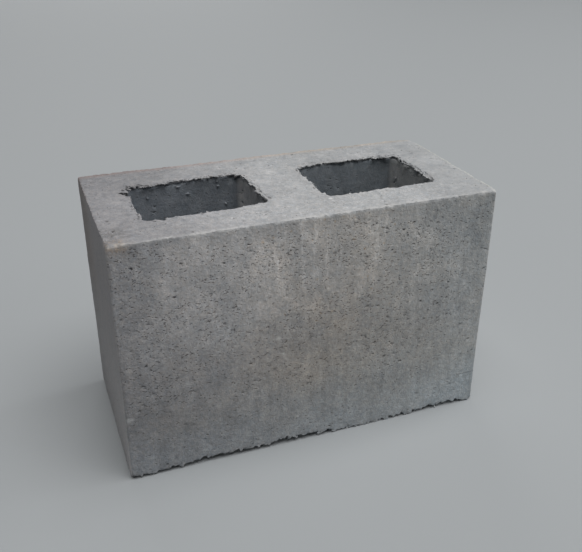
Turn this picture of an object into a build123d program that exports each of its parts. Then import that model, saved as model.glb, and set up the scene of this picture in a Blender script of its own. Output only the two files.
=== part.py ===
"""Two-core hollow concrete block, 290 x 140 x 190 mm.

One piece of dry-pressed concrete. It stands on a bed face with its two cores
upright, as it is laid in a wall.

Frame: millimetres, +Z up. The origin is the middle of the lower bed face, in
the underside of the centre web. +X runs along the length, +Y across the
width. The front face looks along -Y.
"""

from build123d import *

import os
from math import atan, degrees

# ---- driving dimensions (mm) ------------------------------------------------
LENGTH = 290.0  # end face to end face, along X
WIDTH = 140.0  # face shell to face shell, along Y
HEIGHT = 190.0  # bed face to bed face, along Z
EDGE_R = 2.0  # rounding of the four upright outer edges, left by the mould

CORE_LENGTH = 92.0  # one core's mouth in the upper bed face, along X
CORE_WIDTH = 70.0  # the same mouth, along Y
CORE_R = 6.0  # rounding of the mouth's corners
CENTRE_WEB = 44.0  # concrete between the two mouths, in the upper bed face
DRAFT = 3.0  # each core wall comes in by this much from top to bottom, so that
#              the steel core former can be drawn out upwards

# ---- derived -----------------------------------------------------------------
CORE_X = (CENTRE_WEB + CORE_LENGTH) / 2  # core axis to the block's middle
END_WEB = (LENGTH - CENTRE_WEB) / 2 - CORE_LENGTH  # 31 mm at the top
SHELL = (WIDTH - CORE_WIDTH) / 2  # 35 mm at the top
DRAFT_ANGLE = degrees(atan(DRAFT / HEIGHT))  # about 0.9 degrees

# ---- the block ---------------------------------------------------------------
with BuildPart() as block:
    # outer body: a rectangle with slightly rounded corners, drawn straight up
    with BuildSketch(Plane.XY):
        RectangleRounded(LENGTH, WIDTH, EDGE_R)
    extrude(amount=HEIGHT)

    # two tapered cores, right through from bed face to bed face
    with BuildSketch(Plane.XY.offset(HEIGHT)):
        with Locations((-CORE_X, 0), (CORE_X, 0)):
            RectangleRounded(CORE_LENGTH, CORE_WIDTH, CORE_R)
    extrude(amount=-HEIGHT, taper=DRAFT_ANGLE, mode=Mode.SUBTRACT)

block.part.label = "block"

os.makedirs("parts", exist_ok=True)
export_step(block.part, "parts/block.step")

print("volume mm3", round(block.part.volume))
print("solids", len(block.part.solids()), "faces", len(block.part.faces()))
print("shell", SHELL, "end web", END_WEB, "centre web", CENTRE_WEB)
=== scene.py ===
"""Looks of the two-core hollow concrete block.

The block is one dry-pressed piece, so it is one closed mesh: an implicit
surface is built on a voxel grid from the block's nominal size, given its worn
arrises, ragged core rims, pits and crumbs, and turned into a mesh. The finish
is one procedural material. Lengths inside the modelling part are millimetres;
the mesh is written in metres, in the part's own frame.
"""

import math
import time
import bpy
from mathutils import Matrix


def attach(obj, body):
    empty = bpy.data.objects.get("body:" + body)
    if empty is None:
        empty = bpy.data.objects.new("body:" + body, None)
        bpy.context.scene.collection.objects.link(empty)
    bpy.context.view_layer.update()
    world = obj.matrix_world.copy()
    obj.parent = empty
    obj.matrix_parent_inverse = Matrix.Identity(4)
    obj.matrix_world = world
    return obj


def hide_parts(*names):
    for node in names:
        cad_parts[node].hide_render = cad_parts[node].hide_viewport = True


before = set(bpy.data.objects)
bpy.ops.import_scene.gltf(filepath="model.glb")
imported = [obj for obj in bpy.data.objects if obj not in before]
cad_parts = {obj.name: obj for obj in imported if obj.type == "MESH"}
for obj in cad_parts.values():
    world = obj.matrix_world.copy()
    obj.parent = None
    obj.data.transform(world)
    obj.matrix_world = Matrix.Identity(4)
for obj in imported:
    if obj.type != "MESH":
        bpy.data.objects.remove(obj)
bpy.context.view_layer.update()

from concurrent.futures import ThreadPoolExecutor

import bpy
import numpy as np
import openvdb
from mathutils import Matrix, Vector

T0 = time.perf_counter()


def note(text):
    print(f"[{time.perf_counter() - T0:6.1f} s] {text}", flush=True)


F4 = np.float32

# ---- nominal block (mm), as in the part's source ------------------------------
LENGTH, WIDTH, HEIGHT = 290.0, 140.0, 190.0
CORE_LENGTH, CORE_WIDTH, CENTRE_WEB, DRAFT = 92.0, 70.0, 44.0, 3.0
CORE_X = (CENTRE_WEB + CORE_LENGTH) / 2
HX, HY = LENGTH / 2, WIDTH / 2

VOX = 0.5  # voxel size
TRIANGLES = 196_000
PAD = 4


def axis(lo, hi, shift):
    n = int(math.ceil((hi - lo) / VOX)) + 2 * PAD
    return (lo + (np.arange(n) - PAD + shift) * VOX).astype(F4)


xs, ys, zs = axis(-HX, HX, 0.41), axis(-HY, HY, 0.37), axis(0.0, HEIGHT, 0.43)
NX, NY, NZ = len(xs), len(ys), len(zs)
X, Y, Z = xs[:, None, None], ys[None, :, None], zs[None, None, :]
note(f"grid {NX} x {NY} x {NZ}")


# ---- smooth random fields -----------------------------------------------------
def taps(c, spacing, shift):
    """The cubic B-spline's four lattice rows and their weights at the places c."""
    t = (c - c[0]) / spacing + 1.0 + shift
    i = np.floor(t).astype(int)
    f = (t - i).astype(F4)
    return i - 1, (
        (1 - f) ** 3 / 6,
        (3 * f**3 - 6 * f**2 + 4) / 6,
        (-3 * f**3 + 3 * f**2 + 3 * f + 1) / 6,
        f**3 / 6,
    )


def read_axis(a, ax, i, w):
    """The lattice a, read along its axis ax."""
    shape = [1] * a.ndim
    shape[ax] = -1
    out = np.take(a, i, axis=ax) * w[0].reshape(shape)
    for k in (1, 2, 3):
        out += np.take(a, i + k, axis=ax) * w[k].reshape(shape)
    return out


class Field:
    """A smooth random field of unit spread over the grid, with lumps about `size` mm across, stretched along the axes. It is read a slab at a time."""

    def __init__(self, seed, size, stretch=(1.0, 1.0, 1.0)):
        rng = np.random.default_rng(seed)
        (self.i, self.w), (iy, wy), (iz, wz) = (
            taps(c, size * s * 0.5, rng.random()) for c, s in zip((xs, ys, zs), stretch)
        )
        lattice = rng.standard_normal(
            (self.i[-1] + 4, iy[-1] + 4, iz[-1] + 4), dtype=F4
        ) * F4(3.03)
        self.rows = read_axis(read_axis(lattice, 2, iz, wz), 1, iy, wy)

    def slab(self, sl):
        return read_axis(self.rows, 0, self.i[sl], [w[sl] for w in self.w])


def field2(seed, size, a, b, stretch=(1.0, 1.0)):
    """The same over two of the grid's axes."""
    rng = np.random.default_rng(seed)
    (ia, wa), (ib, wb) = (
        taps(c, size * s * 0.5, rng.random()) for c, s in zip((a, b), stretch)
    )
    lattice = rng.standard_normal((ia[-1] + 4, ib[-1] + 4), dtype=F4) * F4(2.09)
    return read_axis(read_axis(lattice, 0, ia, wa), 1, ib, wb)


def step(a, b, v):
    """0 below a, 1 above b, smooth between."""
    t = np.clip((v - a) / (b - a), 0, 1)
    return t * t * (3 - 2 * t)


def along(c, table):
    """Curve through the (place, value) pairs of table."""
    p = np.array(table, float)
    return np.interp(c, p[:, 0], p[:, 1]).astype(F4)


def rounding(a, b, w):
    """Signed distance past an arris rounded to radius w, where a and b are the depths below its two faces."""
    p, q = w - a, w - b
    return (
        np.hypot(np.maximum(p, 0), np.maximum(q, 0))
        + np.minimum(np.maximum(p, q), 0)
        - w
    )


with ThreadPoolExecutor(6) as pool:
    n_grit, n_fine, n_mid, n_big, n_wide = pool.map(
        lambda a: Field(*a), ((15, 1.9), (11, 2.8), (12, 5.5), (13, 14.0), (14, 60.0))
    )
note("noise fields")

# ---- outline, side shares and wear, over the plan ---------------------------------
X2, Y2 = xs[:, None], ys[None, :]
R_UP = 2.0  # upright arrises
qx, qy = np.abs(X2) - (HX - R_UP), np.abs(Y2) - (HY - R_UP)
side_2d = (
    np.hypot(np.maximum(qx, 0), np.maximum(qy, 0))
    + np.minimum(np.maximum(qx, qy), 0)
    - R_UP
)  # negative inside

near = np.stack(
    [np.broadcast_to(g, (NX, NY)) for g in (Y2 + HY, HY - Y2, X2 + HX, HX - X2)]
)
share = np.exp(-near / 2.5)
share /= share.sum(0)
is_front, is_back, is_left, is_right = share

# upper arris: crisp in front and on the right, worn at the back and at the corners
wear_2d = 0.5 * is_front + 2.0 * is_back + 0.9 * is_left + 0.7 * is_right
lumpy_2d = 1 - 0.75 * (is_back + is_right) - 0.55 * is_front - 0.3 * is_left
for px, py, r, w in (
    (-HX, -HY, 14.0, 3.4),
    (-HX, HY, 9.0, 1.0),
    (HX, HY, 18.0, 4.5),
    (HX, -HY, 8.0, 2.6),
):
    wear_2d = wear_2d + w * np.exp(-((X2 - px) ** 2 + (Y2 - py) ** 2) / (r * r * 0.5))

# lower arris: broken off along the bed, higher in some stretches than in others
FRONT_BREAK = [(-146, 3.0), (-140, 2.8), (-134, 2.2), (-129, 1.9), (-122, 2.4), (-114, 3.3), (-106, 3.7), (-98, 3.5), (-88, 4.5), (-80, 4.8), (-70, 4.2), (-58, 4.0), (-46, 4.1), (-36, 4.7), (-27, 5.3), (-20, 5.8), (-12, 5.5), (-4, 3.8), (2, 2.6), (12, 3.6), (18, 1.7), (24, 0.5), (36, 0.3), (58, 0.3), (66, 1.6), (72, 2.9), (80, 1.6), (84, 0.9), (92, 2.1), (102, 3.7), (110, 2.6), (120, 3.6), (127, 3.9), (133, 1.8), (140, 0.6), (146, 1.4)]
LEFT_BREAK = [(-71, 3.0), (-50, 2.2), (-30, 3.0), (-10, 1.6), (10, 2.6), (30, 3.4), (50, 2.4), (71, 2.0)]
rise_2d = (
    is_front * along(xs, FRONT_BREAK)[:, None]
    + is_left * along(ys, LEFT_BREAK)[None, :]
    + is_back * (2.2 + 1.5 * field2(21, 42.0, xs, ys))
    + is_right * (2.2 + 1.3 * field2(22, 36.0, xs, ys))
)
reach_2d = np.maximum(21.0 + 3.0 * field2(23, 16.0, xs, ys), 12.0)
fade_2d = 1 - step(0.6, 1.0, np.clip(-side_2d, 0, None) / reach_2d)

# ---- cores ------------------------------------------------------------------------
# The mouths' rims. Each side has (place along it, how far the rim lies outside the
# nominal opening), which is negative where a lip of crumbs stands into the opening.
# "wall" is how far the wall itself stands inside the nominal one at the top.
CORES = (
    {
        "x": -CORE_X,
        "left": [(-32, 0.4), (-24, 0.2), (-19, 1.1), (-9, 2.1), (-4, 1.2), (2, 1.9), (8, 0.3), (13, 0.6), (16, 1.0), (21, 1.2), (24, 0.6), (28, 1.4), (33, 1.0)],
        "right": [(-32, -0.4), (-26, 1.0), (-19, 0.0), (-12, -1.0), (-7, -1.1), (0, 0.8), (4, 0.0), (8, -2.1), (13, -1.0), (16, -0.2), (24, -1.4), (31, -2.2)],
        "back": [(-113, -0.4), (-108, -5.2), (-105, -1.2), (-100, -4.6), (-97, -5.4), (-92, -4.0), (-88, -2.4), (-84, -3.6), (-80, -1.0), (-73, -1.2), (-68, -0.5), (-64, -2.6), (-60, -0.6), (-56, 0.5), (-52, -1.6), (-48, 0.7), (-44, -0.4), (-40, -2.1), (-36, -1.6), (-32, 0.0), (-27, -2.2), (-22, -3.0)],
        "front": [(-113, 0.5), (-104, 1.3), (-100, 3.3), (-97, 0.8), (-90, 0.2), (-84, 0.0), (-80, 0.7), (-72, 0.0), (-65, -0.8), (-60, 0.4), (-54, -0.3), (-48, 0.8), (-43, -0.7), (-37, -1.9), (-32, -1.9), (-28, -2.8), (-22, -4.0)],
        "r": {"bl": 3.5, "br": 8.0, "fl": 4.0, "fr": 3.0},
        "crumbly": {"left": 0.7, "right": 0.9, "back": 1.0, "front": 0.2},
        "wall": {
            "back": [(-114, 0.6), (-104, 1.4), (-92, 1.6), (-74, 0.2), (-50, -0.4), (-22, 0.6)],
            "right": [(-35, 0.3), (0, 0.4), (35, 1.3)],
            "left": [(0, 0.0)],
            "front": [(0, 0.0)],
        },
    },
    {
        "x": CORE_X,
        "left": [(-32, 0.0), (-26, 1.2), (-21, 2.1), (-16, 1.8), (-11, 0.6), (-4, 0.8), (2, 1.1), (8, 0.3), (12, 2.2), (16, 1.4), (22, 0.2), (28, -0.9), (33, -1.8)],
        "right": [(-35, -4.4), (-32, -3.8), (-28, -3.2), (-23, -3.9), (-18, -3.1), (-9, -3.2), (-4, -2.0), (0, -1.5), (4, -2.2), (9, -4.0), (13, -4.6), (17, -3.0), (24, -3.3), (32, -2.4)],
        "back": [(23, -4.6), (28, -2.7), (36, -2.1), (40, -0.4), (44, -1.4), (56, -0.9), (64, -1.7), (72, -1.8), (80, -2.4), (85, -1.0), (88, -1.0), (92, -3.6), (96, -2.8), (100, -4.8), (105, -5.0), (109, -3.6), (114, -4.5)],
        "front": [(23, 1.2), (28, 1.9), (36, 2.1), (44, 2.9), (56, 2.6), (64, 2.3), (71, 1.8), (78, 2.4), (84, 2.1), (96, 1.9), (104, 1.3), (114, 0.0)],
        "r": {"bl": 3.5, "br": 11.0, "fl": 3.0, "fr": 5.0},
        "crumbly": {"left": 0.35, "right": 1.0, "back": 0.6, "front": 0.15},
        "wall": {
            "back": [(22, 2.0), (40, 0.5), (60, 0.3), (84, 0.7), (102, 2.1), (114, 2.5)],
            "right": [(-35, 2.6), (0, 2.2), (35, 2.8)],
            "left": [(0, 0.0)],
            "front": [(0, 0.0)],
        },
    },
)
# a rim that looks worn back by 1 mm is an arris rounded to this radius
ROUNDED = {"left": 2.0, "right": 1.0, "back": 0.5, "front": 1.3}
LEAST = {"left": 0.0, "right": 0.5, "back": 0.7, "front": 0.0}  # lip that is there in any case


def side_table(table, side):
    if side in ("left", "right"):
        return np.broadcast_to(along(ys, table)[None, :], (NX, NY))
    return np.broadcast_to(along(xs, table)[:, None], (NX, NY))


rim_2d = np.zeros((NX, NY), F4)
for c in CORES:
    u, v = X2 - c["x"], Y2 + 0 * X2
    sides = np.exp(
        np.clip(
            np.stack(
                [
                    np.broadcast_to(g, (NX, NY))
                    for g in (
                        u - CORE_LENGTH / 2,
                        -u - CORE_LENGTH / 2,
                        v - CORE_WIDTH / 2,
                        -v - CORE_WIDTH / 2,
                    )
                ]
            ),
            -60,
            20,
        )
        / 1.5
    )
    sides /= sides.sum(0)
    lip, worn = np.zeros((NX, NY), F4), np.full((NX, NY), 0.5, F4)
    wall = np.zeros((NX, NY), F4)
    for s, k in zip(sides, ("right", "left", "back", "front")):
        inside = side_table(c["wall"][k], k)
        table = side_table(c[k], k) + inside
        wall += s * inside
        lip += s * np.maximum(-table, LEAST[k])
        worn += s * np.maximum(table, 0) * ROUNDED[k]
    c["lip_2d"], c["worn_2d"], c["wall_2d"] = lip[:, :, None], worn[:, :, None], wall[:, :, None]
    out = np.maximum(np.abs(u) - CORE_LENGTH / 2, np.abs(v) - CORE_WIDTH / 2)
    share = sum(s * c["crumbly"][k] for s, k in zip(sides, ("right", "left", "back", "front")))
    rim_2d = np.maximum(rim_2d, share * (1 - step(1.0, 3.6, out + lip + wall)) * step(-9.0, -5.0, out))
    c["r_2d"] = np.where(
        u < 0,
        np.where(v < 0, c["r"]["fl"], c["r"]["bl"]),
        np.where(v < 0, c["r"]["fr"], c["r"]["br"]),
    ).astype(F4)[:, :, None]

side_2d, wear_2d, rise_2d, fade_2d, lumpy_2d = (
    a.astype(F4)[:, :, None] for a in (side_2d, wear_2d, rise_2d, fade_2d, lumpy_2d)
)
solid = np.empty((NX, NY, NZ), F4)
# pitted also tells the material how much painted shade to put into each pit
pitted = np.zeros((NX, NY, NZ), np.float16)  # how far into a pit a place lies
fine_all = np.empty((NX, NY, NZ), F4)
TOP = slice(int(np.searchsorted(zs, HEIGHT - 12.0)), NZ)
BED = slice(0, int(np.searchsorted(zs, 14.0)))


def build(sl):
    """The block's signed field, negative inside, over one slab of the grid."""
    x = X[sl]
    side, wear = side_2d[sl], wear_2d[sl]
    inward = -side
    grit, fine, mid = n_grit.slab(sl), n_fine.slab(sl), n_mid.slab(sl)
    big, wide = n_big.slab(sl), n_wide.slab(sl)
    depth = HEIGHT - Z
    f = np.maximum(side, np.maximum(-depth, -Z))

    # upper arris
    m, g, n = mid[..., TOP], big[..., TOP], fine[..., TOP]
    lumpy = lumpy_2d[sl]
    w = np.maximum(wear * (1 + lumpy * (0.35 * m + 0.25 * g)) + 0.22 * lumpy * n, 0.35)
    np.maximum(f[..., TOP], rounding(depth[..., TOP], inward, w), out=f[..., TOP])

    # lower arris
    m, g, n = mid[..., BED], big[..., BED], fine[..., BED]
    rise, fade = rise_2d[sl], fade_2d[sl]
    ragged = rise * fade * (1 + 0.04 * m + 0.08 * n)
    ragged += fade * (0.05 * m + 0.32 * n + 0.42 * grit[..., BED])
    above = Z[..., BED] - np.maximum(ragged, 0)
    w = np.maximum(0.6 + 0.3 * n + 0.1 * m, 0.2)
    np.maximum(f[..., BED], rounding(above, inward, w), out=f[..., BED])

    # cores
    slip = DRAFT * depth / HEIGHT
    core = np.full(f.shape, 99.0, F4)
    for c in CORES:
        u, v = x - c["x"], Y
        if np.abs(u).min() > CORE_LENGTH / 2 + 12:
            continue
        r = np.maximum(c["r_2d"][sl] - slip, 2.0)
        ax = np.abs(u) - (CORE_LENGTH / 2 - slip - r)
        ay = np.abs(v) - (CORE_WIDTH / 2 - slip - r)
        d = (
            np.hypot(np.maximum(ax, 0), np.maximum(ay, 0))
            + np.minimum(np.maximum(ax, ay), 0)
            - r
        )
        d += c["wall_2d"][sl] * (1 - 0.7 * depth / HEIGHT)
        m, g, n = mid[..., TOP], big[..., TOP], fine[..., TOP]
        lip = c["lip_2d"][sl]
        ragged = 0.15 * m + 0.4 * n + 0.35 * grit[..., TOP]
        lip = lip * (1 + 0.1 * m) + ragged * np.maximum(step(0.2, 1.5, lip), 0.5)
        thick = np.maximum(1.8 + 0.5 * m + 0.3 * n, 0.9)
        held = np.exp(-((np.maximum(depth[..., TOP], 0) / thick) ** 4))
        d[..., TOP] += np.maximum(lip, -0.5) * held
        # the wall is hollow just under the lip
        under = np.exp(-(((depth[..., TOP] - thick - 0.8) / 0.8) ** 2))
        d[..., TOP] -= np.clip(0.6 + 0.3 * lip + 0.25 * n, 0, 1.6) * step(0.2, 0.7, c["lip_2d"][sl]) * under
        cut = -d
        worn = c["worn_2d"][sl]
        w = np.maximum(worn * (1 + 0.15 * m) + 0.3 * n + 0.15 * grit[..., TOP], 0.25)
        np.maximum(
            cut[..., TOP], rounding(depth[..., TOP], d[..., TOP], w), out=cut[..., TOP]
        )
        w = np.maximum(1.6 + 0.7 * mid[..., BED] + 0.5 * fine[..., BED], 0.3)
        np.maximum(
            cut[..., BED], rounding(Z[..., BED], d[..., BED], w), out=cut[..., BED]
        )
        np.maximum(f, cut, out=f)
        np.minimum(core, d, out=core)

    # waviness and sandy roughness
    on_top = 1 - step(0.5, 3.0, depth)
    on_bed = 1 - step(0.5, 3.0, Z)
    in_core = 1 - step(0.5, 3.0, core)
    edge = (1 - step(1.0, 6.0, inward)) * np.minimum(
        (1 - step(1.0, 6.0, depth)) + (1 - step(1.0, 7.0, Z)), 1
    )
    rough = 0.02 + 0.05 * on_top + 0.09 * on_bed + 0.13 * edge * lumpy
    f += rough * (grit + 0.7 * fine + 0.7)
    f += 0.025 * mid + 0.05 * (big + 1.2) + 0.10 * (wide + 1.0)
    solid[sl] = f
    fine_all[sl] = fine


slabs = [slice(i, min(i + 12, NX)) for i in range(0, NX, 12)]
with ThreadPoolExecutor(4) as pool:
    list(pool.map(build, slabs))
del n_grit, n_fine, n_mid, n_big, n_wide
note("body and cores")


# ---- pits and crumbs --------------------------------------------------------------
def span(c, lo, hi):
    return slice(int(np.searchsorted(c, lo)), int(np.searchsorted(c, hi)))


def blob(p, radii, add, ragged_by=0.3, pit=1.0):
    """Takes an ellipsoid out of the solid at p, or adds one. A hole taken out is marked as pit, which the material
    darkens with painted shade, as strongly as pit says.
    """
    rx, ry, rz = radii
    g = VOX * 1.5
    sx = span(xs, p[0] - rx - g, p[0] + rx + g)
    sy = span(ys, p[1] - ry - g, p[1] + ry + g)
    sz = span(zs, p[2] - rz - g, p[2] + rz + g)
    e = np.sqrt(
        ((xs[sx, None, None] - p[0]) / rx) ** 2
        + ((ys[None, sy, None] - p[1]) / ry) ** 2
        + ((zs[None, None, sz] - p[2]) / rz) ** 2
    )
    e = (1 - e) * min(radii) + ragged_by * min(radii) * fine_all[sx, sy, sz]
    part = solid[sx, sy, sz]
    if add:
        np.minimum(part, -e, out=part)
    else:
        np.maximum(part, e, out=part)
        p = pitted[sx, sy, sz]
        np.maximum(p, pit * np.clip(e / 0.5 + 0.7, 0, 1), out=p)


def clump(seed, size, a, b):
    """Uneven density over a face, 0 to 1."""
    return step(
        -1.2, 1.6, field2(seed, size, a, b) + 0.5 * field2(seed + 1, size / 3, a, b)
    )


def core_mouth(x, y):
    return (
        abs(abs(x) - CORE_X) < CORE_LENGTH / 2 + 0.5 and abs(y) < CORE_WIDTH / 2 + 0.5
    )


def pits(seed, face, count, smallest, largest, clumps, deep=0.75):
    """Scatters pits over one face. Small ones are much more common than large ones."""
    rng = np.random.default_rng(seed)
    a, b = {"x": (ys, zs), "y": (xs, zs), "z": (xs, ys)}[face[0]]
    made = 0
    while made < count:
        i = rng.uniform(a[PAD], a[-PAD - 1])
        j = rng.uniform(b[PAD], b[-PAD - 1])
        t = rng.random()
        if rng.random() > clumps[
            min(np.searchsorted(a, i), len(a) - 1),
            min(np.searchsorted(b, j), len(b) - 1),
        ]:
            continue
        r = smallest * (largest / smallest) ** (t**2.6)
        long = r * rng.uniform(1.0, 2.1)
        tall = r * rng.uniform(0.7, 1.0)
        down = r * deep * rng.uniform(0.8, 1.5)
        off = down * rng.uniform(0.05, 0.45) + 0.25
        made += 1
        if face[0] == "z":
            if core_mouth(i, j):
                continue
            p = (i, j, HEIGHT - off if face[1] > 0 else off)
            blob(p, (long, tall, down), False)
        elif face[0] == "y":
            p = (i, face[1] * (HY - off), j)
            blob(p, (long, down, tall), False)
        else:
            p = (face[1] * (HX - off), i, j)
            blob(p, (down, long, tall), False)


upper = (0.3 + 0.7 * step(20.0, 110.0, zs))[None, :]
pits(101, ("y", -1), 420, 0.42, 0.8, clump(31, 30.0, xs, zs) * upper, 0.9)
pits(102, ("y", 1), 420, 0.42, 0.8, clump(33, 30.0, xs, zs) * upper, 0.9)
pits(103, ("x", -1), 40, 0.42, 0.8, clump(35, 30.0, ys, zs))
pits(104, ("x", 1), 80, 0.42, 0.9, clump(37, 30.0, ys, zs))
pits(105, ("z", 1), 260, 0.42, 0.8, clump(39, 26.0, xs, ys), 0.8)
pits(106, ("z", -1), 800, 0.6, 2.0, clump(41, 26.0, xs, ys), 0.7)

# pits that stand out
for p, r in (
    ((142.0, -69.7, 181.0), (1.2, 1.5, 1.1)),
    ((-97.0, -69.8, 170.0), (1.1, 1.1, 0.8)),
    ((-91.0, -69.8, 180.0), (0.9, 1.1, 0.9)),
    ((-130.0, -69.8, 172.0), (1.3, 1.1, 0.7)),
    ((87.0, -69.8, 107.0), (1.0, 1.1, 0.9)),
    ((-126.0, -69.8, 96.0), (1.0, 1.1, 0.8)),
):
    blob(p, r, False)


def chip(corner, reach):
    """Breaks a corner off, along a rough plane that meets each edge this far from the corner."""
    s = tuple(
        span(c, min(k, k + r) - 2, max(k, k + r) + 2)
        for c, k, r in zip((xs, ys, zs), corner, reach)
    )
    a = (xs[s[0], None, None] - corner[0]) / reach[0]
    b = (ys[None, s[1], None] - corner[1]) / reach[1]
    c = (zs[None, None, s[2]] - corner[2]) / reach[2]
    d = (1 - a - b - c) / math.sqrt(sum(1 / r**2 for r in reach))
    np.maximum(solid[s], d + 0.3 * fine_all[s], out=solid[s])


chip((-HX, -HY, 0.0), (6.0, 5.0, 9.0))
chip((HX, -HY, HEIGHT), (-2.6, 2.6, -3.0))
note("pits")

rng = np.random.default_rng(201)


def rim_crumbs(c, side, lo, hi, count, gaps=0.3, behind=0.0):
    """Crumbs stuck along one side of a mouth's rim. Behind some of them a gap is broken out of the bed."""
    upright = side in ("left", "right")
    sign = 1 if side in ("right", "back") else -1
    line = sign * CORE_WIDTH / 2
    if upright:
        line = c["x"] + sign * CORE_LENGTH / 2
    places, outs = zip(*c[side])

    def stick(a, out, z, size, add):
        length, width, height = size
        if upright:
            blob((out, a, z), (width, length, height), add)
        else:
            blob((a, out, z), (length, width, height), add)

    for _ in range(count):
        a = rng.uniform(lo, hi)
        out = line + sign * (np.interp(a, places, outs) + behind)
        size = rng.uniform(0.45, 0.95)
        long = size * rng.uniform(1.0, 1.7)
        if rng.random() < gaps:
            back = out + sign * (size + rng.uniform(0.3, 1.2))
            deep = rng.uniform(0.9, 1.7)
            stick(a + rng.normal(0, 0.5), back, HEIGHT - 0.2, (long, rng.uniform(0.6, 0.9), deep), False)
        out -= sign * rng.normal(0.1, 0.4)
        down = size * rng.uniform(0.7, 1.3)
        stick(a, out, HEIGHT - down, (long, size * 0.9, size * rng.uniform(0.7, 0.95)), True)


def crumble(x, y, rx, ry, count):
    """A patch of the upper bed broken into small crumbs."""
    for k in range(count):
        r, turn = math.sqrt(rng.random()), rng.uniform(0, 2 * math.pi)
        p = (x + rx * r * math.cos(turn), y + ry * r * math.sin(turn))
        size = rng.uniform(0.5, 0.95)
        if k % 3 == 0:
            blob((*p, HEIGHT - size), (size * 1.3, size, size), True)
        else:
            blob((*p, HEIGHT - 0.1), (size * rng.uniform(0.9, 1.7), size, rng.uniform(0.8, 1.5)), False)


def groove(points, width, deep, broken):
    """A narrow gap in the upper bed along the points, broken off here and there."""
    for (x0, y0), (x1, y1) in zip(points, points[1:]):
        n = max(int(math.hypot(x1 - x0, y1 - y0) / 0.7), 1)
        for t in np.arange(n) / n:
            if rng.random() < broken:
                continue
            x = x0 + (x1 - x0) * t + rng.normal(0, 0.25)
            y = y0 + (y1 - y0) * t + rng.normal(0, 0.25)
            w = width * rng.uniform(0.8, 1.3)
            blob((x, y, HEIGHT), (w, w * 1.3, deep * rng.uniform(0.6, 1.2)), False)


# mouth, side, from, to, crumbs, share with a gap behind
for k, side, lo, hi, count, gaps in (
    (0, "back", -114, -92, 60, 0.7),
    (0, "back", -92, -24, 110, 0.25),
    (0, "right", -32, 32, 80, 0.5),
    (0, "left", -32, 33, 44, 0.25),
    (0, "front", -113, -23, 12, 0.1),
    (1, "back", 23, 50, 24, 0.3),
    (1, "back", 50, 88, 24, 0.1),
    (1, "back", 88, 112, 60, 0.6),
    (1, "right", -33, 32, 90, 0.5),
    (1, "left", -33, 33, 34, 0.2),
    (1, "front", 23, 112, 14, 0.1),
):
    rim_crumbs(CORES[k], side, lo, hi, count, gaps)
crumble(-106.0, 31.0, 9.0, 2.2, 46)
crumble(-112.0, 30.0, 3.0, 3.0, 16)
crumble(36.0, 37.2, 6.5, 1.3, 26)
crumble(98.0, 33.0, 8.0, 2.2, 30)
crumble(-138.0, -50.0, 4.0, 5.0, 22)
# a notch in the first core's left rim, given a strong painted shade through pit
for x, y, long, wide in ((-114.0, 17.4, 3.4, 3.2), (-116.6, 19.2, 2.8, 2.4), (-119.0, 21.4, 1.8, 1.5)):
    blob((x, y, HEIGHT), (long, wide, 7.0), False, 0.15, pit=4.2)
groove([(107.5, 23.0), (110.5, 14.0), (112.5, 8.0), (112.8, -2.0), (113.8, -8.0), (114.0, -18.0), (112.6, -28.0)], 0.7, 2.0, 0.35)


def on_wall(c, side, a, z):
    """The place on one wall of a core, a along it and z up."""
    upright, sign = side in ("left", "right"), 1 if side in ("right", "back") else -1
    down = (HEIGHT - z) / HEIGHT
    half = (CORE_LENGTH if upright else CORE_WIDTH) / 2 - DRAFT * down
    half -= np.interp(a, *zip(*c["wall"][side])) * (1 - 0.7 * down)
    return (c["x"] + sign * half, a, z) if upright else (a, sign * half, z)


for c in CORES:
    # small lumps and pits on the walls
    for _ in range(46):
        z = HEIGHT - 6 - 170 * rng.random() ** 1.5
        size = rng.uniform(0.5, 1.1)
        a = rng.uniform(-1, 1)
        side = ("front", "back", "right", "left")[rng.integers(4)]
        a = a * 29 if side in ("left", "right") else c["x"] + a * 40
        blob(on_wall(c, side, a, z), (size, size, size * 0.8), rng.random() < 0.5)
for k, side, a, z, r, add in (
    (0, "back", -73.4, 184.4, (1.6, 1.2, 0.9), True),
    (0, "back", -66.3, 177.6, (1.5, 1.2, 0.9), True),
    (0, "back", -42.6, 184.5, (1.0, 1.0, 0.9), True),
    (0, "back", -41.5, 181.0, (1.3, 1.1, 0.8), True),
    (0, "back", -33.7, 180.8, (0.9, 1.0, 0.8), True),
    (0, "back", -50.7, 176.8, (0.8, 0.9, 0.7), True),
    (0, "back", -92.8, 171.3, (2.1, 1.3, 0.9), False),
    (0, "back", -94.4, 166.5, (1.7, 1.2, 0.8), False),
    (1, "back", 52.6, 169.1, (1.3, 1.1, 0.6), False),
    (1, "back", 55.4, 166.1, (1.2, 1.1, 0.6), False),
    (1, "back", 61.8, 165.7, (1.4, 1.1, 0.6), False),
    (0, "right", 29.0, 166.6, (1.1, 1.2, 0.9), False),
    (0, "right", 32.0, 170.8, (1.1, 1.0, 0.9), False),
    (0, "right", 29.4, 176.2, (1.0, 1.2, 0.7), False),
):
    blob(on_wall(CORES[k], side, a, z), [v * 0.8 for v in r], add)
del fine_all
note("rims")

# nothing stands proud of the nominal faces
for plane in (X - HX, -HX - X, Y - HY, -HY - Y, Z - HEIGHT, -Z):
    np.maximum(solid, plane, out=solid)

# ---- mesh ---------------------------------------------------------------------------
grid = openvdb.FloatGrid(3 * VOX)
band = np.clip(solid, -3 * VOX, 3 * VOX)
grid.copyFromArray(band.astype(F4))
points, tris, quads = grid.convertToPolygons(isovalue=0.0, adaptivity=0.0)
note(f"surface: {len(points)} points, {len(tris)} triangles, {len(quads)} quads")
points = points.astype(F4) * VOX + np.array([xs[0], ys[0], zs[0]], F4)
faces = np.concatenate([tris, quads[:, [0, 1, 2]], quads[:, [0, 2, 3]]])


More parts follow.
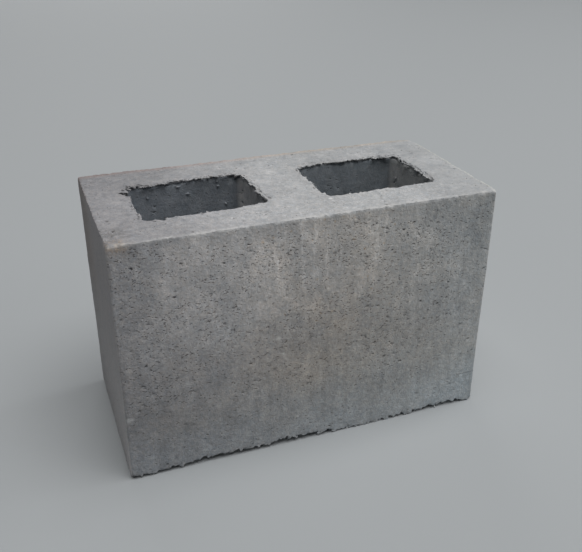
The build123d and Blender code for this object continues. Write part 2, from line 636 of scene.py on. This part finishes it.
def mesh_of(name, points, faces):
    me = bpy.data.meshes.new(name)
    me.vertices.add(len(points))
    me.vertices.foreach_set("co", np.ascontiguousarray(points, F4).ravel())
    me.loops.add(len(faces) * 3)
    me.loops.foreach_set("vertex_index", np.ascontiguousarray(faces, np.int32).ravel())
    me.polygons.add(len(faces))
    me.polygons.foreach_set("loop_start", np.arange(len(faces), dtype=np.int32) * 3)
    me.update(calc_edges=True)
    return me


def largest_part(n, faces):
    """Which of n points belong to the largest connected part."""
    label = np.arange(n)
    edges = np.concatenate([faces[:, [0, 1]], faces[:, [1, 2]]])
    a, b = edges[:, 0], edges[:, 1]
    while True:
        low = np.minimum(label[a], label[b])
        new = label.copy()
        np.minimum.at(new, label[a], low)
        np.minimum.at(new, label[b], low)
        new = new[new]
        new = new[new]
        if (new == label).all():
            break
        label = new
    names, counts = np.unique(label, return_counts=True)
    return label == names[counts.argmax()]


me = mesh_of("block_raw", points * 0.001, faces[:, ::-1])
ob = bpy.data.objects.new("block_raw", me)
bpy.context.scene.collection.objects.link(ob)
mod = ob.modifiers.new("fewer", "DECIMATE")
mod.ratio = min(1.0, TRIANGLES / len(faces))
dg = bpy.context.evaluated_depsgraph_get()
fine = bpy.data.meshes.new_from_object(ob.evaluated_get(dg))
bpy.data.objects.remove(ob)
bpy.data.meshes.remove(me)
fine.calc_loop_triangles()
note(f"decimated to {len(fine.loop_triangles)} triangles")

co = np.empty(len(fine.vertices) * 3, F4)
fine.vertices.foreach_get("co", co)
co = co.reshape(-1, 3)
tri = np.empty(len(fine.loop_triangles) * 3, np.int32)
fine.loop_triangles.foreach_get("vertices", tri)
tri = tri.reshape(-1, 3)
bpy.data.meshes.remove(fine)
keep = largest_part(len(co), tri)
print("loose points dropped", int((~keep).sum()))
number = np.cumsum(keep) - 1
tri = number[tri[keep[tri].all(1)]]
co = co[keep]
co[:, 0] = co[:, 0].clip(-HX / 1000, HX / 1000)
co[:, 1] = co[:, 1].clip(-HY / 1000, HY / 1000)
co[:, 2] = co[:, 2].clip(0.0, HEIGHT / 1000)
me = mesh_of("concrete_block", co, tri)
bad = me.validate(verbose=False)
e = np.sort(np.concatenate([tri[:, [0, 1]], tri[:, [1, 2]], tri[:, [2, 0]]]), axis=1)
_, shared = np.unique(e[:, 0].astype(np.int64) * len(co) + e[:, 1], return_counts=True)
print("mesh", len(co), "points", len(tri), "triangles; repaired", bad, "; edges not shared by two faces", int((shared != 2).sum()))
block = bpy.data.objects.new("concrete_block", me)
bpy.context.scene.collection.objects.link(block)
me.polygons.foreach_set("use_smooth", np.ones(len(me.polygons), bool))
me.set_sharp_from_angle(angle=math.radians(38))

# what the material needs to know at each point: in a pit, on a core's wall, or beside a crumbly rim
mm = co * 1000
ijk = [
    np.clip(np.rint((mm[:, k] - c[0]) / VOX).astype(int), 0, len(c) - 1)
    for k, c in enumerate((xs, ys, zs))
]
in_pit = pitted[ijk[0], ijk[1], ijk[2]].astype(F4)
slip = DRAFT * (HEIGHT - mm[:, 2]) / HEIGHT
wall = np.maximum(
    np.abs(np.abs(mm[:, 0]) - CORE_X) - (CORE_LENGTH / 2 - slip),
    np.abs(mm[:, 1]) - (CORE_WIDTH / 2 - slip),
)
below = np.minimum(HEIGHT - mm[:, 2], 40.0)
in_core = (1 - step(1.5, 3.5, wall)) * step(0.8, 3.5, below)
at_rim = rim_2d[ijk[0], ijk[1]] * (1 - step(2.0, 4.0, below))
for name, values in (("pit", in_pit), ("core", in_core), ("rim", at_rim)):
    me.attributes.new(name, "FLOAT", "POINT").data.foreach_set(
        "value", np.ascontiguousarray(values, F4)
    )
note("mesh ready")

# ---- material -------------------------------------------------------------------------
class Nodes:
    """Short names for the shader nodes used below. A value is a socket or a number."""

    def __init__(self, tree):
        self.tree = tree

    def new(self, kind, **settings):
        n = self.tree.nodes.new(kind)
        for k, v in settings.items():
            setattr(n, k, v)
        return n

    def put(self, socket, value):
        if isinstance(value, bpy.types.NodeSocket):
            self.tree.links.new(value, socket)
        elif value is not None:
            socket.default_value = value

    def math(self, op, a, b=None, c=None, clamp=False):
        n = self.new("ShaderNodeMath", operation=op, use_clamp=clamp)
        for i, v in enumerate((a, b, c)):
            if v is not None:
                self.put(n.inputs[i], v)
        return n.outputs[0]

    def mul(self, a, b):
        return self.math("MULTIPLY", a, b)

    def add(self, a, b):
        return self.math("ADD", a, b)

    def vec(self, op, a, b=None, scale=None):
        n = self.new("ShaderNodeVectorMath", operation=op)
        self.put(n.inputs[0], a)
        if b is not None:
            self.put(n.inputs[1], b)
        if scale is not None:
            self.put(n.inputs["Scale"], scale)
        return n.outputs["Value" if op in ("LENGTH", "DISTANCE", "DOT_PRODUCT") else 0]

    def noise(self, p, size, detail=2.0, rough=0.5, distort=0.0):
        n = self.new("ShaderNodeTexNoise", noise_dimensions="3D")
        self.put(n.inputs["Vector"], p)
        n.inputs["Scale"].default_value = 1.0 / size
        n.inputs["Detail"].default_value = detail
        n.inputs["Roughness"].default_value = rough
        n.inputs["Distortion"].default_value = distort
        return n.outputs["Fac"]

    def cells(self, p, size, feature="F1", jitter=1.0):
        n = self.new("ShaderNodeTexVoronoi", feature=feature, voronoi_dimensions="3D")
        self.put(n.inputs["Vector"], p)
        n.inputs["Scale"].default_value = 1.0 / size
        n.inputs["Randomness"].default_value = jitter
        return n

    def ramp(self, v, a, b, lo=0.0, hi=1.0, smooth=True):
        n = self.new(
            "ShaderNodeMapRange",
            interpolation_type="SMOOTHSTEP" if smooth else "LINEAR",
            clamp=True,
        )
        self.put(n.inputs["Value"], v)
        for k, x in (
            ("From Min", a),
            ("From Max", b),
            ("To Min", lo),
            ("To Max", hi),
        ):
            self.put(n.inputs[k], x)
        return n.outputs["Result"]

    def mix(self, f, a, b, kind="MIX"):
        n = self.new("ShaderNodeMix", data_type="RGBA", blend_type=kind, clamp_factor=True)
        self.put(n.inputs[0], f)
        for i, v in ((6, a), (7, b)):
            if isinstance(v, tuple) and len(v) == 3:
                v = (*v, 1.0)
            self.put(n.inputs[i], v)
        return n.outputs[2]

    def attribute(self, name):
        return self.new("ShaderNodeAttribute", attribute_name=name).outputs["Fac"]

    def vary(self, level, n, much):
        """level, made uneven by the noise n, which is 0.5 on average."""
        return self.mul(level, self.math("MULTIPLY_ADD", n, 2 * much, 1.0 - much))

    def grey(self, v):
        n = self.new("ShaderNodeCombineColor")
        for i in range(3):
            self.put(n.inputs[i], v)
        return n.outputs[0]


mat = bpy.data.materials.new("concrete")
mat.use_nodes = True
nt = mat.node_tree
bsdf = nt.nodes["Principled BSDF"]
g = Nodes(nt)

coords = g.new("ShaderNodeTexCoord")
P = g.vec("SCALE", coords.outputs["Object"], scale=1000.0)  # millimetres
split = g.new("ShaderNodeSeparateXYZ")
g.put(split.inputs[0], P)
px, py, pz = split.outputs
pit = g.attribute("pit")
core = g.attribute("core")
rim = g.attribute("rim")

# where a point lies: on the upper bed face, an end, a core's wall, or a shell
on_top = g.mul(g.ramp(pz, HEIGHT - 3.0, HEIGHT - 0.8), g.math("SUBTRACT", 1.0, core))
on_end = g.ramp(g.math("ABSOLUTE", px), HX - 1.4, HX - 0.3)
shell = g.math("SUBTRACT", 1.0, g.math("MAXIMUM", on_end, g.math("MAXIMUM", core, on_top)), clamp=True)


def hill(v, middle, half):
    """1 at middle, falling to 0 half away."""
    return g.ramp(g.math("ABSOLUTE", g.add(v, -middle)), half, 0.0)


def moved(x, y, z):
    return g.vec("ADD", P, (x, y, z))


def upright(q, by):
    """Coordinates that stretch a pattern upwards."""
    return g.vec("MULTIPLY", q, (1.0, 1.0, 1.0 / by))


def shade(level, mask, much):
    return g.mul(level, g.math("MULTIPLY_ADD", mask, much, 1.0))


def present(tone, share, mask):
    return g.mul(mask, g.math("LESS_THAN", tone, share))


def cells(q, size, radius, share, wobble=0.9, least=0.45):
    """Spots of about radius mm, one in a cell of size mm, in this share of the cells."""
    bent = g.math("MULTIPLY_ADD", g.noise(q, radius * 1.2, 1.0, 0.5), 2 * wobble, -wobble)
    v = g.cells(q, size)
    tone = g.new("ShaderNodeSeparateColor")
    g.put(tone.inputs[0], v.outputs["Color"])
    d = g.math("MULTIPLY_ADD", bent, radius / size, v.outputs["Distance"])
    r = g.mul(radius / size, g.ramp(tone.outputs[1], 0.0, 1.0, least, 1.15))
    n = g.new("ShaderNodeMapRange", interpolation_type="SMOOTHSTEP", clamp=True)
    g.put(n.inputs["Value"], d)
    g.put(n.inputs["From Min"], r)
    g.put(n.inputs["From Max"], g.mul(r, 0.45))
    n.inputs["To Min"].default_value, n.inputs["To Max"].default_value = 0.0, 1.0
    return present(tone.outputs[0], share, n.outputs["Result"])


def strokes(q, size, wide, tall, share, bend=0.5, lean=0.5):
    """Short curved marks, one in a cell of size mm, in this share of the cells. Wide and tall are their half sizes. The second mask lies just under the first."""
    v = g.cells(q, size)
    tone = g.new("ShaderNodeSeparateColor")
    g.put(tone.inputs[0], v.outputs["Color"])
    d = g.new("ShaderNodeSeparateXYZ")
    g.put(d.inputs[0], g.vec("SUBTRACT", q, v.outputs["Position"]))
    side = g.add(d.outputs[0], d.outputs[1])
    slant = g.math("MULTIPLY_ADD", tone.outputs[1], 2 * lean, -lean)
    curve = g.math("MULTIPLY_ADD", tone.outputs[2], 2 * bend, -0.7 * bend)
    up = g.add(d.outputs[2], g.mul(side, g.math("MULTIPLY_ADD", side, curve, slant)))
    reach = g.ramp(tone.outputs[2], 0.0, 1.0, wide * 0.5, wide * 1.3)
    along = g.math("DIVIDE", side, reach)
    along = g.mul(along, along)
    uneven = g.math("MULTIPLY_ADD", n12f, 2.0, -1.0)
    masks = []
    for down in (0.0, 1.7 * tall):
        across = g.math("DIVIDE", g.add(up, down), tall)
        r = g.math("SQRT", g.math("MULTIPLY_ADD", across, across, along))
        masks.append(present(tone.outputs[0], share, g.ramp(g.add(r, uneven), 1.1, 0.5)))
    return masks


def tones(q, size):
    """Two random tones, 0 to 1, for each cell of size mm."""
    v = g.cells(q, size)
    tone = g.new("ShaderNodeSeparateColor")
    g.put(tone.inputs[0], v.outputs["Color"])
    return tone.outputs[0], tone.outputs[1]


# noises, each about 0.5 on average
n70 = g.noise(moved(0.0, 90.0, 20.0), 70.0, 2.0, 0.5)
n26 = g.noise(upright(moved(310.0, 40.0, 70.0), 1.5), 26.0, 3.0, 0.55)
n12 = g.noise(upright(moved(10.0, 240.0, 170.0), 1.3), 12.0, 3.0, 0.6)
n40 = g.noise(moved(60.0, 20.0, 130.0), 30.0, 1.0, 0.4)
n5 = g.noise(P, 5.0, 3.0, 0.6)
n25 = g.noise(moved(33.0, 71.0, 12.0), 2.6, 2.0, 0.6)
n12f = g.noise(moved(8.0, 2.0, 61.0), 1.3, 2.0, 0.6)
sand_a, sand_h = tones(upright(moved(17.0, 3.0, 29.0), 1.25), 1.7)
sand_b, sand_k = tones(moved(2.0, 37.0, 51.0), 1.0)

# pores: small holes, wider than high, in loose clusters, fewer low down; they are darkened with painted shade, and lit
# is a painted highlight just under each
loose = g.noise(moved(77.0, 0.0, 31.0), 20.0, 2.0, 0.6)
clusters = g.ramp(loose, 0.36, 0.62)
where = g.mul(shell, g.ramp(pz, 15.0, 120.0, 0.25, 1.0))
where = g.mul(where, g.mul(g.ramp(pz, 187.0, 177.0, 0.25, 1.0), g.ramp(px, 90.0, 130.0, 1.0, 0.45)))
where = g.add(where, g.mul(core, 0.15))
where = g.add(where, g.mul(on_end, 0.2))
pore_a, lit_a = strokes(moved(3.0, 8.0, 1.0), 4.4, 1.3, 0.35, g.mul(where, g.ramp(clusters, 0.0, 1.0, 0.15, 0.75)), 0.28, 0.5)
pore_b, lit_b = strokes(moved(41.0, 13.0, 22.0), 2.5, 0.6, 0.38, g.mul(where, g.ramp(clusters, 0.0, 1.0, 0.12, 0.55)), 0.5, 0.8)
pore_c = cells(moved(1.0, 53.0, 12.0), 2.0, 0.5, g.mul(on_top, g.ramp(loose, 0.4, 0.62, 0.08, 0.3)))
pore = g.math("MAXIMUM", g.math("MAXIMUM", pore_a, pore_b), pore_c)
lit = g.math("MAXIMUM", lit_a, lit_b)

# light sand grains, and short light strokes down the shells
grains = cells(moved(91.0, 17.0, 5.0), 2.4, 0.55, g.ramp(n12, 0.35, 0.65, 0.08, 0.35), 0.6)
dashes, _ = strokes(moved(7.0, 19.0, 83.0), 3.1, 0.3, 1.1, g.mul(shell, g.ramp(pz, 30.0, 130.0, 0.12, 0.5)), 0.1, 0.2)

# light streaks down the shells, left by the mould, mostly in their upper half
streak = g.noise(upright(P, 7.0), 3.2, 2.0, 0.55, 0.5)
patchy = g.ramp(g.noise(upright(moved(5.0, 7.0, 9.0), 1.8), 24.0, 1.0), 0.42, 0.62)
streaks = g.mul(g.ramp(streak, 0.54, 0.7), g.mul(g.ramp(pz, 70.0, 150.0, 0.25, 1.0), patchy))
streaks = g.mul(streaks, shell)
drawn = g.noise(upright(moved(60.0, 3.0, 0.0), 7.0), 6.0, 2.0, 0.55, 0.4)

# how strong the grain shows: less on the ends and core walls, and towards the back and right of the upper bed
even = g.mul(g.ramp(py, -50.0, -20.0, 0.85, 0.72), g.ramp(px, 100.0, 125.0, 1.0, 0.6))
strong = g.math("MULTIPLY_ADD", on_top, g.add(even, -1.0), 1.0)
strong = g.mul(strong, g.math("MULTIPLY_ADD", g.math("MAXIMUM", on_end, g.mul(core, 0.5)), -0.6, 1.0))

# lightness
level = g.vary(1.0, g.mix(shell, n5, drawn), 0.2)
level = g.vary(level, n5, 0.12)
level = g.vary(level, n25, 0.16)
level = g.vary(level, n12f, 0.12)
level = g.vary(level, sand_a, 0.075)
level = g.vary(level, sand_b, 0.07)
level = shade(level, grains, 0.16)
level = shade(level, dashes, 0.14)
level = shade(level, g.mul(on_top, g.ramp(n25, 0.55, 0.7)), 0.12)
level = g.math("MULTIPLY_ADD", g.add(level, -1.0), strong, 1.0)
patches = g.vary(g.vary(g.vary(1.0, n70, 0.14), n26, 0.16), n12, 0.28)
patches = g.math("MULTIPLY_ADD", g.add(patches, -1.0), g.math("MULTIPLY_ADD", on_end, -0.8, 1.0), 1.0)
level = g.mul(level, patches)
high_up = g.mul(shell, g.ramp(pz, 105.0, 145.0))
level = shade(level, high_up, g.math("MULTIPLY_ADD", n40, 0.56, -0.28))
level = shade(level, g.mul(on_top, g.math("SUBTRACT", 1.0, g.ramp(py, -50.0, -30.0))), g.math("MULTIPLY_ADD", n12, -0.3, 0.15))
level = shade(level, g.mul(g.mul(on_top, hill(px, 0.0, 26.0)), g.ramp(py, -45.0, -30.0)), g.math("MULTIPLY_ADD", n40, 0.4, -0.2))

# the shells are lighter in the upper middle, darker low down on the left
level = shade(level, g.mul(shell, g.mul(g.ramp(pz, 85.0, 150.0), hill(px, -25.0, 120.0))), 0.36)
level = shade(level, g.mul(shell, g.mul(g.ramp(pz, 120.0, 50.0), g.ramp(px, 20.0, -130.0))), -0.24)
level = shade(level, g.mul(shell, g.ramp(pz, 45.0, 15.0)), 0.06)
level = shade(level, g.mul(shell, g.ramp(px, -100.0, -138.0)), -0.07)
level = shade(level, g.mul(shell, g.ramp(px, 60.0, 130.0)), 0.1)
level = shade(level, g.mul(shell, g.mul(g.ramp(pz, 80.0, 120.0), hill(px, 85.0, 50.0))), 0.07)
level = shade(level, g.mul(shell, g.ramp(pz, 176.0, 187.0)), -0.07)
for x, half, z, tall, much in (
    (-72.0, 55.0, 178.0, 34.0, 0.09),
    (62.0, 45.0, 178.0, 34.0, 0.1),
    (135.0, 30.0, 175.0, 34.0, -0.07),
    (0.0, 60.0, 132.0, 34.0, -0.09),
    (-140.0, 35.0, 85.0, 40.0, -0.09),
    (-62.0, 35.0, 60.0, 30.0, 0.07),
    (10.0, 90.0, 28.0, 60.0, -0.08),
    (-140.0, 30.0, 20.0, 35.0, 0.08),
    (138.0, 32.0, 30.0, 60.0, -0.06),
):
    level = shade(level, g.mul(shell, g.mul(hill(px, x, half), hill(pz, z, tall))), much)
# painted shade and light on the upper bed face, as the light falls across it: darker on the left and along the back,
# lighter towards the middle and right
level = shade(level, g.mul(on_top, g.ramp(px, -110.0, -60.0, -0.45, 1.0)), 0.25)
level = shade(level, g.mul(on_top, g.ramp(px, 60.0, 130.0)), -0.06)
level = shade(level, g.mul(on_top, g.mul(g.ramp(py, -20.0, 55.0), g.ramp(px, 60.0, -60.0))), -0.16)
level = shade(level, g.mul(on_top, g.mul(g.ramp(g.math("ABSOLUTE", py), 30.0, 50.0), hill(px, -70.0, 38.0))), -0.09)
level = shade(level, g.mul(on_top, g.mul(g.ramp(py, 15.0, 55.0), g.ramp(px, -30.0, 60.0))), -0.09)
level = shade(level, on_top, -0.03)
# the ends are painted lighter low down (painted light) and darker high up at the back (painted shade); the next two
# lines make them darker towards the back and lighter towards the front
level = shade(level, g.mul(on_end, g.ramp(pz, 160.0, 5.0)), 0.34)
level = shade(level, g.mul(on_end, g.mul(g.ramp(pz, 60.0, 150.0), g.ramp(py, 0.0, 60.0))), -0.1)
level = shade(level, g.mul(on_end, g.ramp(py, 0.0, 55.0)), -0.08)
level = shade(level, g.mul(on_end, g.ramp(py, 0.0, -60.0)), 0.05)
level = shade(level, streaks, 0.19)
# painted highlight on the lower lip of each pore
level = shade(level, lit, 0.12)
# painted shade in the pores
level = shade(level, pore, -0.57)
# painted shade in the pits
level = shade(level, pit, -0.22)
# painted shade in the cores' hollows, partly also the walls' own darker face
level = shade(level, core, -0.3)
# painted light and shade on the cores' walls by the way they face: the right walls are painted lighter, the left ones
# darker; the right walls are also browner than the others
facing = g.new("ShaderNodeSeparateXYZ")
g.put(facing.inputs[0], coords.outputs["Normal"])
right_wall = g.mul(core, g.ramp(facing.outputs[0], -0.2, -0.9))
level = shade(level, g.mul(core, g.ramp(facing.outputs[0], -0.5, -0.98, smooth=False)), 1.15)
level = shade(level, g.mul(core, g.ramp(facing.outputs[0], 0.2, 0.9)), -0.1)
# along the rims: dark spots of painted shade in the gaps between crumbs, and lighter crumbs
level = shade(level, cells(moved(6.0, 26.0, 3.0), 1.9, 0.6, g.mul(rim, 0.5), 1.0), -0.42)
level = shade(level, cells(moved(16.0, 6.0, 73.0), 2.1, 0.55, g.mul(rim, 0.5), 0.8), 0.3)

# hue, above 0 for warm: brownish in the middle of the shells, bluish towards the right; bluish low down on the shells
# and in the cores as painted cool shade
hue = g.mul(g.mul(hill(px, 5.0, 115.0), g.ramp(pz, 30.0, 75.0)), g.ramp(n26, 0.35, 0.65, 0.04, 0.1))
# painted cool shade low down on the shells
hue = g.add(hue, g.mul(g.ramp(pz, 62.0, 12.0), g.ramp(px, -140.0, 140.0, -0.075, -0.1)))
hue = g.add(hue, g.mul(g.ramp(px, 70.0, 145.0), -0.02))
brown = g.mul(hill(px, 15.0, 95.0), hill(pz, 68.0, 75.0))
hue = g.math("MULTIPLY_ADD", brown, 0.05, hue)
hue = g.mul(hue, shell)
hue = g.add(hue, g.mul(on_top, -0.02))
fringe = g.mul(on_top, g.ramp(py, 60.0, 68.5))
hue = g.math("MULTIPLY_ADD", fringe, 0.24, hue)
hue = g.math("MULTIPLY_ADD", g.mul(on_top, g.ramp(py, 32.0, 44.0)), -0.01, hue)
hue = g.math("MULTIPLY_ADD", g.mul(on_top, g.ramp(px, 50.0, 110.0)), -0.015, hue)
hue = g.math("MULTIPLY_ADD", pore, 0.08, hue)
hue = g.add(hue, g.mul(g.mul(on_end, g.mul(g.ramp(pz, 90.0, 140.0), g.ramp(py, -10.0, 45.0))), 0.1))
hue = g.math("MULTIPLY_ADD", on_end, 0.02, hue)
# painted cool shade in the cores
hue = g.add(hue, g.mul(core, -0.19))
hue = g.add(hue, g.mul(right_wall, 0.17))
hue = g.add(hue, g.math("MULTIPLY_ADD", n5, 0.12, -0.06))
hue = g.add(hue, g.math("MULTIPLY_ADD", n12, 0.1, -0.05))
hue = g.add(hue, g.mul(g.math("MULTIPLY_ADD", sand_h, 0.09, -0.045), strong))
hue = g.add(hue, g.mul(shell, g.math("MULTIPLY_ADD", n40, 0.14, -0.07)))
rust = cells(moved(20.0, 70.0, 44.0), 4.0, 1.0, g.mul(g.mul(hill(px, 20.0, 85.0), g.ramp(pz, 70.0, 130.0)), 0.4), 1.2)
rust = g.mul(rust, shell)
hue = g.math("MULTIPLY_ADD", rust, 0.26, hue)
level = shade(level, rust, -0.12)
# a trace of pink on the left and along the back of the bed, of green on the right
pink = g.ramp(px, 140.0, -140.0, -0.012, 0.016, False)
pink = g.math("MULTIPLY_ADD", g.mul(on_top, g.ramp(px, 0.0, -130.0)), 0.008, pink)
pink = g.math("MULTIPLY_ADD", g.mul(on_top, g.ramp(px, 20.0, 120.0)), 0.009, pink)
pink = g.math("MULTIPLY_ADD", g.mul(fringe, g.ramp(px, 60.0, -60.0)), 0.05, pink)
pink = g.math("MULTIPLY_ADD", g.mul(on_end, g.ramp(pz, 80.0, 150.0)), 0.012, pink)
pink = g.math("MULTIPLY_ADD", g.mul(shell, g.ramp(pz, 90.0, 30.0)), -0.007, pink)
pink = g.math("MULTIPLY_ADD", g.mul(shell, brown), -0.004, pink)
tint = g.new("ShaderNodeCombineColor")
g.put(tint.inputs[0], g.mul(level, g.math("MULTIPLY_ADD", hue, 0.5, 1.0)))
g.put(tint.inputs[1], g.mul(level, g.math("SUBTRACT", 1.0, pink)))
g.put(tint.inputs[2], g.mul(level, g.math("MULTIPLY_ADD", hue, -0.5, 1.0)))
colour = g.mix(1.0, (0.355, 0.355, 0.355), tint.outputs[0], "MULTIPLY")


def spot(at, radius, soft=0.5, wobble=0.5):
    """A patch round a place, with an uneven edge."""
    d = g.vec("DISTANCE", P, at)
    d = g.mul(d, g.math("MULTIPLY_ADD", n5, wobble * 2, 1.0 - wobble))
    return g.ramp(d, radius * (1 + soft), radius * (1 - soft))


# sandy spot on the front left corner, dry smear and dusty line along the front arris
sand = spot((-137.0, -67.0, 189.0), 6.5, 0.6, 1.2)
colour = g.mix(g.mul(sand, g.ramp(n25, 0.35, 0.6, 0.1, 0.7)), colour, (0.36, 0.28, 0.21))
smear = g.mul(
    g.ramp(
        g.vec("DISTANCE", g.vec("MULTIPLY", P, (0.33, 1.0, 1.0)), (-57.0 * 0.33, -54.0, 190.0)),
        7.0,
        1.0,
    ),
    g.ramp(n25, 0.42, 0.6),
)
colour = g.mix(g.mul(smear, 0.42), colour, (0.56, 0.56, 0.56))
edge = g.mul(g.mul(on_top, g.ramp(py, -HY + 4.5, -HY + 1.0)), g.ramp(n12, 0.35, 0.6, 0.2, 1.0))
colour = g.mix(g.mul(edge, g.ramp(n25, 0.35, 0.55, 0.3, 0.8)), colour, (0.56, 0.555, 0.545))
# the upper arris of the right end is worn pale
edge = g.mul(g.mul(on_top, g.ramp(px, HX - 2.4, HX - 0.8)), g.ramp(n5, 0.35, 0.55, 0.35, 1.0))
colour = g.mix(g.mul(edge, 0.5), colour, (0.6, 0.61, 0.54))
# painted highlight along the front right upright arris, where its rounding catches the light
edge = g.mul(g.ramp(px, HX - 2.0, HX - 0.7), g.ramp(py, -HY + 2.5, -HY + 1.0))
colour = g.mix(g.mul(edge, g.ramp(n25, 0.4, 0.6, 0.15, 0.5)), colour, (0.5, 0.5, 0.49))
# dirt by the front left corner
dirt = g.mul(spot((-138.0, -50.0, 190.0), 9.0, 0.7, 0.9), g.mul(on_top, g.ramp(n25, 0.62, 0.4)))
colour = g.mix(g.mul(dirt, 0.5), colour, (0.17, 0.165, 0.155))
for at, r, c in (
    ((-29.0, -69.5, 98.0), 1.5, (0.58, 0.575, 0.55)),
    ((-25.0, -69.5, 84.0), 1.1, (0.58, 0.575, 0.55)),
    ((21.8, -41.8, 189.9), 1.7, (0.72, 0.715, 0.70)),
    ((-141.5, -69.5, 54.0), 2.2, (0.42, 0.425, 0.43)),
):
    colour = g.mix(g.mul(spot(at, r, 0.5, 0.9), 0.65), colour, c)
# hairline crack low on the right of the front
split = g.new("ShaderNodeSeparateXYZ")
g.put(split.inputs[0], g.vec("ADD", P, g.vec("SCALE", g.vec("ADD", (-0.5, -0.5, -0.5), n5), scale=3.0)))
line = g.math("ABSOLUTE", g.math("MULTIPLY_ADD", g.add(split.outputs[0], -127.0), 0.04, g.add(split.outputs[2], -29.5)))
line = g.mul(g.ramp(line, 0.7, 0.2), g.mul(g.ramp(px, 126.0, 130.0), g.ramp(py, -60.0, -66.0)))
colour = g.mix(g.mul(line, 0.45), colour, (0.12, 0.12, 0.12))

g.put(bsdf.inputs["Base Color"], colour)
rough = g.math("MULTIPLY_ADD", n25, 0.16, 0.84)
g.put(bsdf.inputs["Roughness"], g.math("MULTIPLY_ADD", core, -0.08, rough, clamp=True))
bsdf.inputs["Specular IOR Level"].default_value = 0.3

# fine relief, millimetres
high = g.mul(g.add(n12f, -0.5), 0.4)
high = g.math("MULTIPLY_ADD", g.add(n25, -0.5), 0.5, high)
high = g.math("MULTIPLY_ADD", g.add(n5, -0.5), 0.5, high)
high = g.mul(high, strong)
high = g.math("MULTIPLY_ADD", pore, -0.45, high)
high = g.math("MULTIPLY_ADD", grains, 0.1, high)
b = g.new("ShaderNodeBump")
b.inputs["Strength"].default_value = 1.0
b.inputs["Distance"].default_value = 0.001
g.put(b.inputs["Height"], high)
g.put(bsdf.inputs["Normal"], b.outputs["Normal"])
me.materials.append(mat)

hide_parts("block")
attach(block, "root")

# ---- floor, light, camera ----------------------------------------------------------------
floor_mesh = bpy.data.meshes.new("floor")
floor_mesh.from_pydata(
    [(-9, -5, 0), (9, -5, 0), (9, 14, 0), (-9, 14, 0)], [], [(0, 1, 2, 3)]
)
floor = bpy.data.objects.new("floor", floor_mesh)
bpy.context.scene.collection.objects.link(floor)
fm = bpy.data.materials.new("pale_floor")
fm.use_nodes = True
fm.node_tree.nodes["Principled BSDF"].inputs["Base Color"].default_value = (0.39, 0.409, 0.419, 1)
fm.node_tree.nodes["Principled BSDF"].inputs["Roughness"].default_value = 0.8
floor_mesh.materials.append(fm)

scene = bpy.context.scene
world = bpy.data.worlds.new("soft")
scene.world = world
world.use_nodes = True
world.node_tree.nodes["Background"].inputs["Color"].default_value = (0.985, 1.0, 1.015, 1)
world.node_tree.nodes["Background"].inputs["Strength"].default_value = 0.05


def softbox(name, place, target, size, power, colour=(1, 1, 1)):
    light = bpy.data.lights.new(name, "AREA")
    light.shape = "RECTANGLE"
    light.size, light.size_y = size
    light.energy = power
    light.color = colour
    o = bpy.data.objects.new(name, light)
    o.location = place
    o.rotation_euler = (
        (Vector(target) - Vector(place)).to_track_quat("-Z", "Y").to_euler()
    )
    scene.collection.objects.link(o)
    return o


softbox("key", (0.25, -1.5, 6.0), (0, 0, 0.1), (5.0, 5.0), 320.0)
softbox("side", (5.0, 0.0, 3.0), (0, 0, 0.1), (3.0, 3.0), 70.0)
softbox("fill", (4.0, -2.4, 1.5), (0, 0, 0.1), (2.4, 2.4), 40.0)
softbox("behind", (0.5, 5.0, 1.6), (0, 0, 0.1), (3.0, 2.0), 50.0)

cam = bpy.data.cameras.new("camera")
cam.sensor_fit = "HORIZONTAL"
cam.sensor_width = 36.0
cam.lens = 779.205 / 582 * 36.0
cam_ob = bpy.data.objects.new("camera", cam)
right = Vector((0.936356, -0.351048, 0.001148))
up = -Vector((-0.158145, -0.424739, -0.891396))
back = -Vector((0.31341, 0.834484, -0.453224))
m = Matrix((right, up, back)).transposed().to_4x4()
m.translation = Vector((-0.191313, -0.527373, 0.39585))
cam_ob.matrix_world = m
scene.collection.objects.link(cam_ob)
scene.camera = cam_ob
scene.view_settings.view_transform = "Standard"
scene.view_settings.look = "None"
scene.view_settings.exposure = 0.0

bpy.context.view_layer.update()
note("done")
